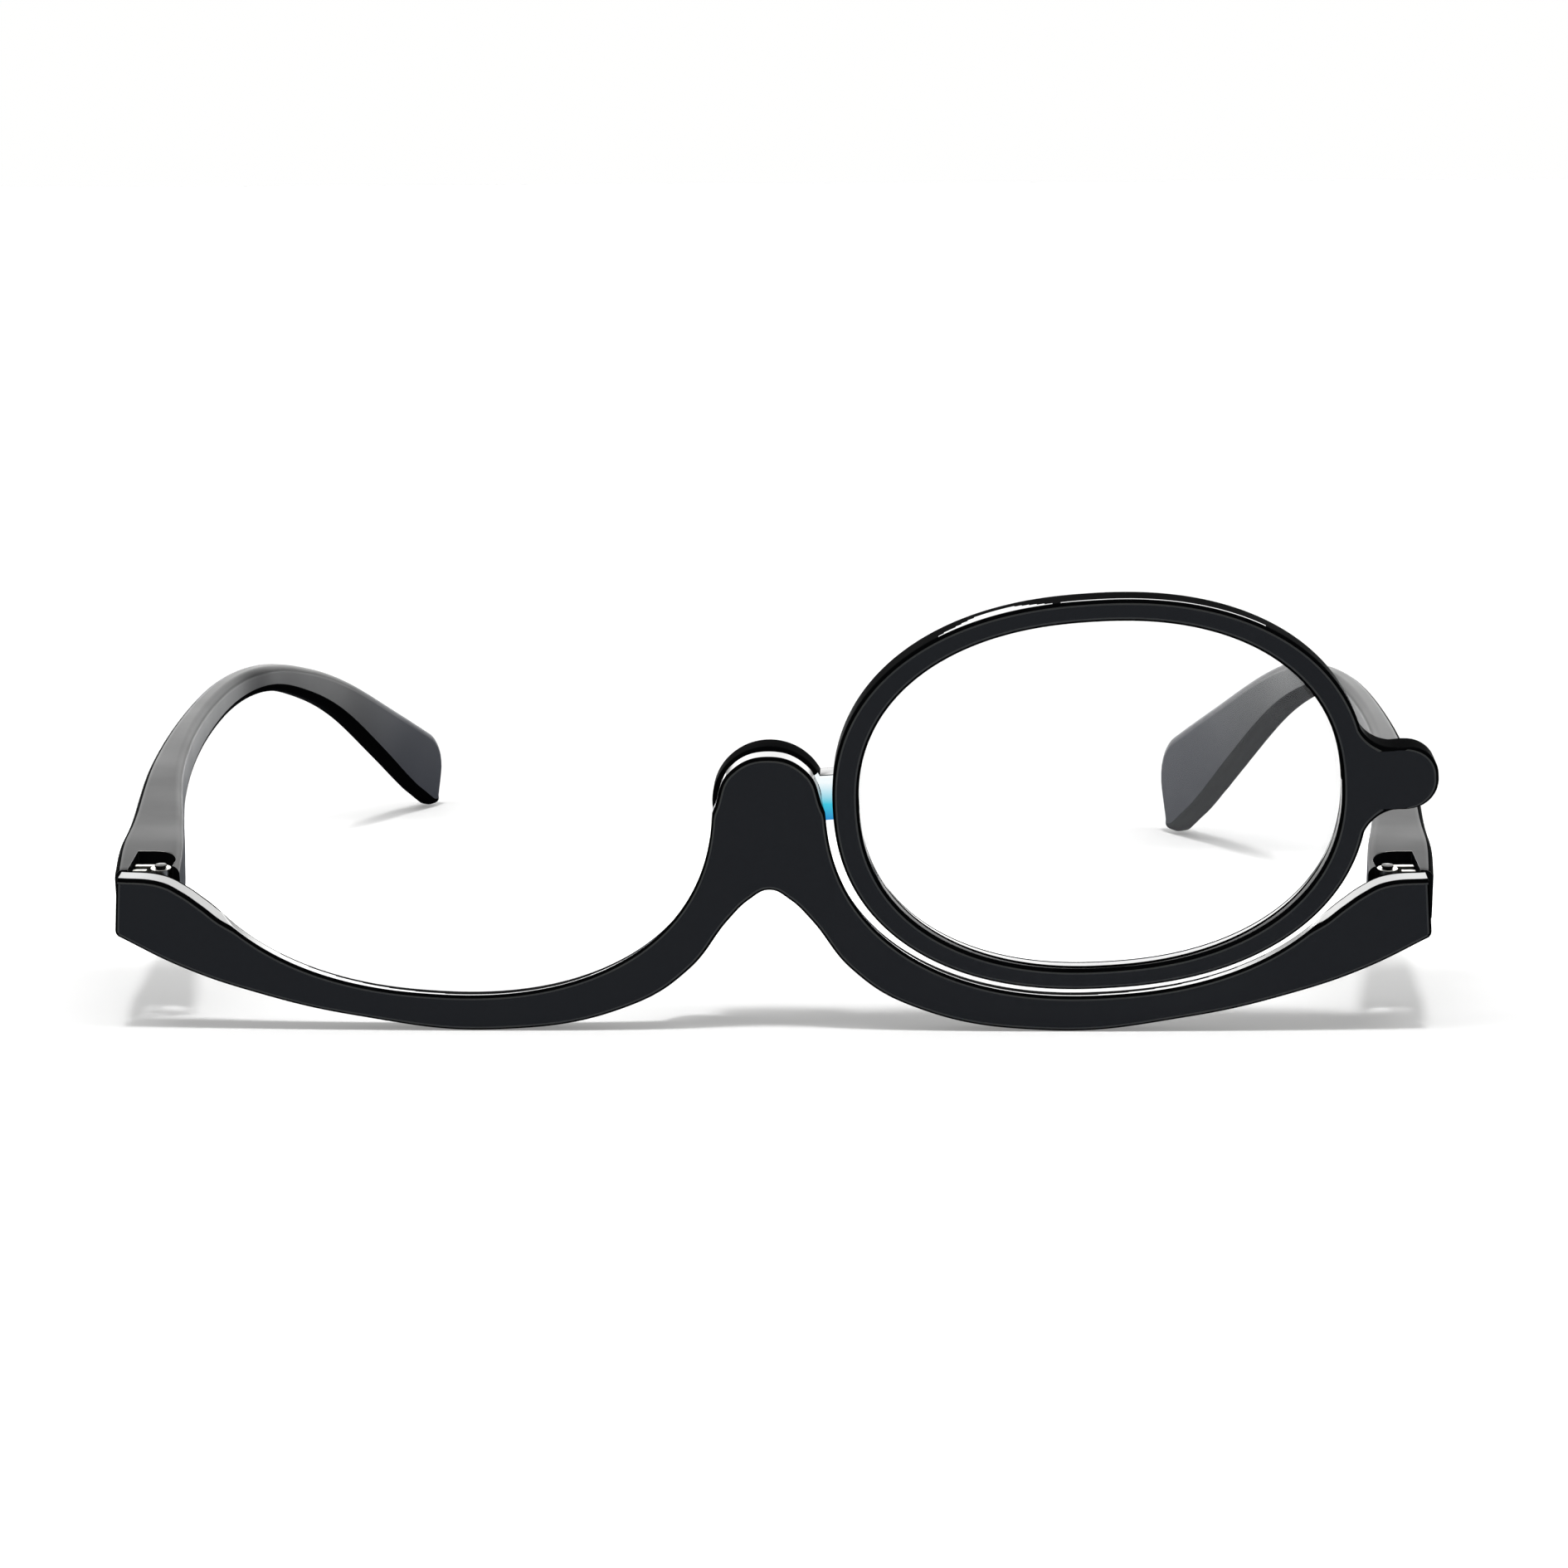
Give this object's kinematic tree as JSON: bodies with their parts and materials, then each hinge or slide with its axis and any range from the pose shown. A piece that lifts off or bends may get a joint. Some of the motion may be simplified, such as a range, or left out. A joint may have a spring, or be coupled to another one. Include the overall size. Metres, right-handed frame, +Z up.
{
  "type": "swing-lens reading glasses",
  "caption": "Make-up reading glasses with a half-rim front, an oval lens that swings over the bridge from eye to eye, and folding temples.",
  "frame": {"origin": "middle of the bounding box's base, on the floor that the glasses stand on", "axes": "+Z up, -Y to the front of the glasses, +X to the right seen from the front, the lens's side at rest"},
  "size_m": [0.1478, 0.1438, 0.0477],
  "materials": {
    "black_plastic": "moulded, polished",
    "clear_lens": "clear, polished",
    "steel": "nickel plated",
    "brass": "turned",
    "nylon": "natural, moulded"
  },
  "bodies": {
    "front": {"front_frame": "black_plastic", "pivot_insert": "brass", "pivot_washer": "nylon", "pivot_spring": "steel", "pivot_screw": "steel", "left_front_leaf": "steel", "right_front_leaf": "steel", "left_hinge_screw": "steel", "right_hinge_screw": "steel", "left_lower_slip_washer": "nylon", "left_upper_slip_washer": "nylon", "right_lower_slip_washer": "nylon", "right_upper_slip_washer": "nylon"},
    "lens_arm": {"lens_rim": "black_plastic", "lens": "clear_lens"},
    "left_arm": {"left_temple": "black_plastic", "left_temple_leaf": "steel"},
    "right_arm": {"right_temple": "black_plastic", "right_temple_leaf": "steel"}
  },
  "joints": [
    {"name": "lens_swing", "type": "hinge", "parent": "front", "child": "lens_arm", "pos_m": [0.00058, -0.06903, 0.02455], "axis": [0, -0.9916, -0.1296], "range_deg": [0, 175]},
    {"name": "left_temple_fold", "type": "hinge", "parent": "front", "child": "left_arm", "pos_m": [-0.0653, -0.06198, 0.01458], "axis": [0, 0.1296, -0.9916], "range_deg": [0, 84]},
    {"name": "right_temple_fold", "type": "hinge", "parent": "front", "child": "right_arm", "pos_m": [0.06646, -0.06198, 0.01458], "axis": [0, -0.1296, 0.9916], "range_deg": [-1.4, 72]}
  ]
}
